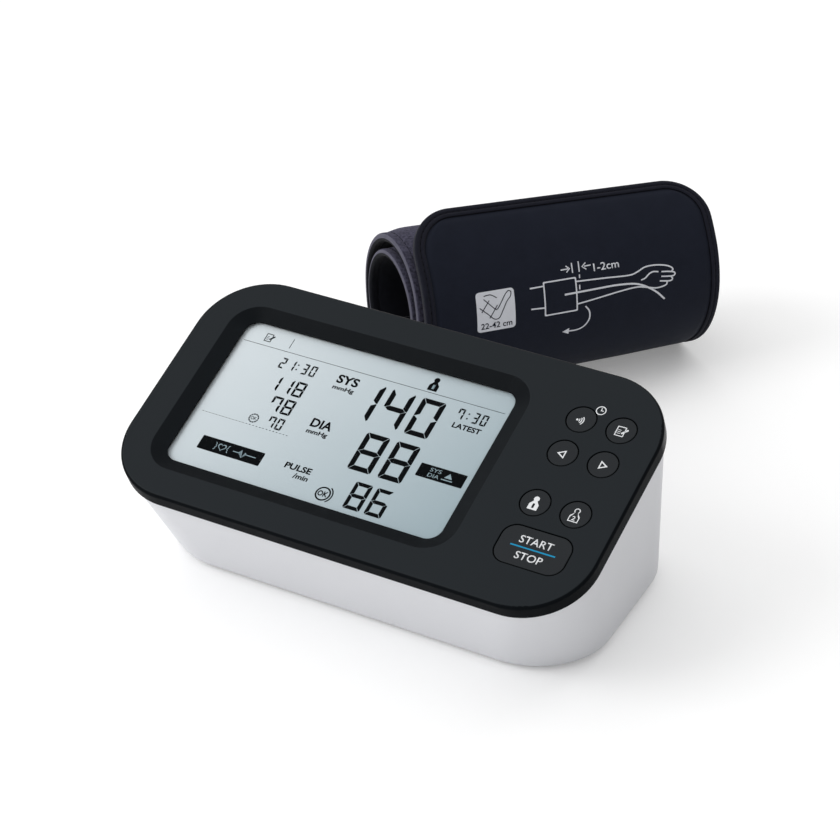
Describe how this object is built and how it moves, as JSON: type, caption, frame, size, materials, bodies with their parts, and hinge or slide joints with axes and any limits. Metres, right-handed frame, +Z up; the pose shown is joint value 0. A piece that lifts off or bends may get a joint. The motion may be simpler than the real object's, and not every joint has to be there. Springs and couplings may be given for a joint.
{
  "type": "blood pressure monitor",
  "caption": "Desktop upper-arm blood pressure monitor: a wedge-shaped unit with a large display and round keys beside it, and a rolled fabric arm cuff with a wrap flap.",
  "frame": {"origin": "on the table, in the middle of the footprint of the monitor and its cuff together", "axes": "+X to the user's right, +Y away from the user, +Z up; the control panel leans back facing -Y and +Z"},
  "size_m": [0.191, 0.293, 0.0856],
  "materials": {
    "fascia": "satin",
    "window": "clear",
    "lcd": "satin",
    "reflector": "matte",
    "holder": "matte",
    "keys": "satin",
    "keypad": "matte",
    "board": "satin",
    "chips": "matte",
    "screws": "zinc plated",
    "housing": "satin",
    "cells": "gloss",
    "contacts": "nickel plated",
    "feet": "matte",
    "steel": "bright",
    "pump_plastic": "matte",
    "saddle": "matte",
    "valve": "satin",
    "tube": "matte",
    "fitting": "satin",
    "socket": "matte",
    "cuff_cloth": "brushed loop",
    "curler": "satin",
    "bladder": "matte",
    "port": "satin",
    "flap_cloth": "woven",
    "binding": "woven tape",
    "hook": "hook tape"
  },
  "bodies": {
    "monitor": {"top_cover": "fascia", "display_lens": "window", "lcd_glass": "lcd", "lcd_reflector": "reflector", "lcd_holder": "holder", "keypad_mat": "keypad", "main_board": "board", "board_chips": "chips", "board_screws": "screws", "lower_housing": "housing", "battery_cells": "cells", "battery_contacts": "contacts", "rubber_feet": "feet", "case_screws": "screws", "pump_motor": "steel", "pump_head": "pump_plastic", "pump_cradles": "saddle", "valve_body": "valve", "air_manifold": "fitting", "air_hoses": "tube", "pressure_sensor": "chips", "air_jack": "fitting", "power_jack": "socket"},
    "button_link": {"button_link": "keys"},
    "button_memory": {"button_memory": "keys"},
    "button_back": {"button_back": "keys"},
    "button_forward": {"button_forward": "keys"},
    "button_user_1": {"button_user_1": "keys"},
    "button_user_2": {"button_user_2": "keys"},
    "button_start_stop": {"button_start_stop": "keys"},
    "battery_door": {"battery_door": "housing"},
    "pump_rotor": {"pump_rotor": "steel"},
    "valve_plunger": {"valve_plunger": "steel"},
    "cuff": {"cuff_strap": "cuff_cloth", "cuff_curler": "curler", "cuff_bladder": "bladder", "cuff_port": "port"},
    "cuff_flap": {"flap_panel": "flap_cloth", "flap_binding": "binding", "hook_patch": "hook"}
  },
  "joints": [
    {"name": "button_link_press", "type": "slide", "parent": "monitor", "child": "button_link", "axis": [0, 0.4352, -0.9003], "range_m": [0, 0.0008], "stiffness_N_per_m": 400, "springref_m": -0.001},
    {"name": "button_memory_press", "type": "slide", "parent": "monitor", "child": "button_memory", "axis": [0, 0.4352, -0.9003], "range_m": [0, 0.0008], "stiffness_N_per_m": 400, "springref_m": -0.001},
    {"name": "button_back_press", "type": "slide", "parent": "monitor", "child": "button_back", "axis": [0, 0.4352, -0.9003], "range_m": [0, 0.0008], "stiffness_N_per_m": 400, "springref_m": -0.001},
    {"name": "button_forward_press", "type": "slide", "parent": "monitor", "child": "button_forward", "axis": [0, 0.4352, -0.9003], "range_m": [0, 0.0008], "stiffness_N_per_m": 400, "springref_m": -0.001},
    {"name": "button_user_1_press", "type": "slide", "parent": "monitor", "child": "button_user_1", "axis": [0, 0.4352, -0.9003], "range_m": [0, 0.0008], "stiffness_N_per_m": 400, "springref_m": -0.001},
    {"name": "button_user_2_press", "type": "slide", "parent": "monitor", "child": "button_user_2", "axis": [0, 0.4352, -0.9003], "range_m": [0, 0.0008], "stiffness_N_per_m": 400, "springref_m": -0.001},
    {"name": "button_start_stop_press", "type": "slide", "parent": "monitor", "child": "button_start_stop", "axis": [0, 0.4352, -0.9003], "range_m": [0, 0.0008], "stiffness_N_per_m": 400, "springref_m": -0.001},
    {"name": "battery_door_hinge", "type": "hinge", "parent": "monitor", "child": "battery_door", "pos_m": [0, -0.12228, 0.001], "axis": [-1, 0, 0], "range_deg": [0, 75]},
    {"name": "pump_spin", "type": "hinge", "parent": "monitor", "child": "pump_rotor", "pos_m": [-0.012, -0.05138, 0.0165], "axis": [1, 0, 0], "continuous": true},
    {"name": "valve_stroke", "type": "slide", "parent": "monitor", "child": "valve_plunger", "axis": [-1, 0, 0], "range_m": [0, 0.0012], "stiffness_N_per_m": 300, "springref_m": -0.001},
    {"name": "cuff_lift", "type": "slide", "parent": "monitor", "child": "cuff", "axis": [0, 0, 1], "range_m": [0, 0.12]},
    {"name": "flap_peel", "type": "hinge", "parent": "cuff", "child": "cuff_flap", "pos_m": [-0.05998, 0.0159, 0.0044], "axis": [0.5931, 0.8051, -0.0025], "range_deg": [0, 40], "stiffness_Nm_per_rad": 0.02, "springref_deg": -28.65}
  ]
}
